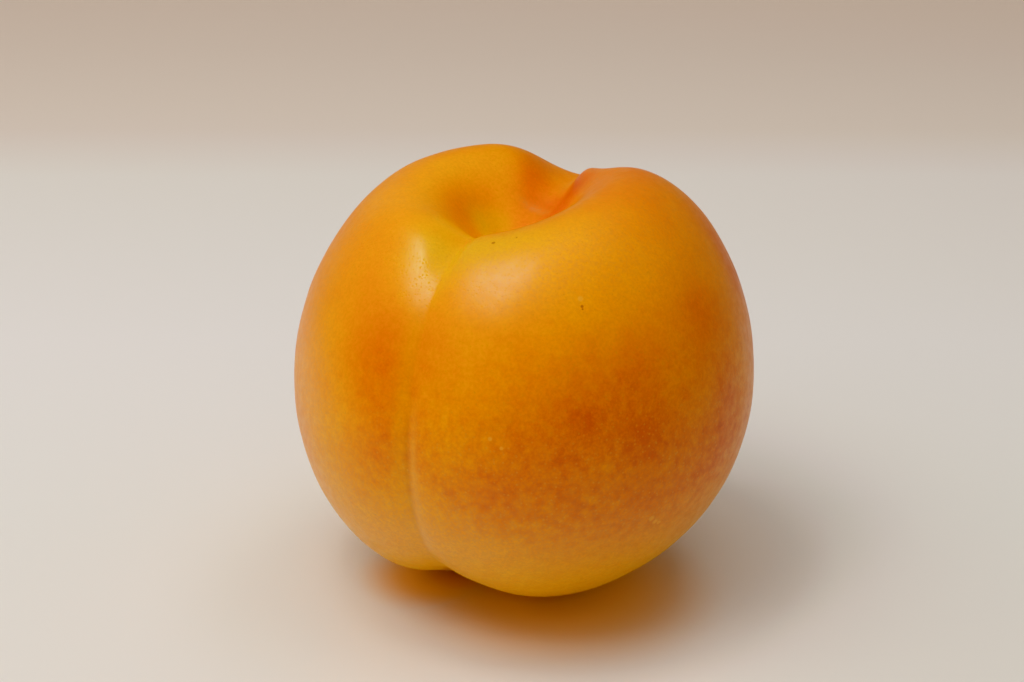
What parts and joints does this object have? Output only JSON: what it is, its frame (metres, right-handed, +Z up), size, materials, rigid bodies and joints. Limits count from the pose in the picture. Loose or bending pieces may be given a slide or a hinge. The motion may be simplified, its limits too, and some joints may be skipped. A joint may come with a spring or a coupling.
{
  "type": "honey peach",
  "caption": "Whole stemless peach with two rounded cheeks, a suture groove and a deep stem cavity, resting on its blossom end.",
  "frame": {"origin": "centre of the fruit's plan box, on the surface that it rests on", "axes": "+Z up along the stem axis, from the blossom end to the stem cavity; -Y towards the suture groove; +X towards the larger cheek"},
  "size_m": [0.076, 0.0784, 0.0708],
  "materials": {
    "peach_skin": "satin"
  },
  "bodies": {
    "root": {"peach": "peach_skin"}
  },
  "joints": []
}
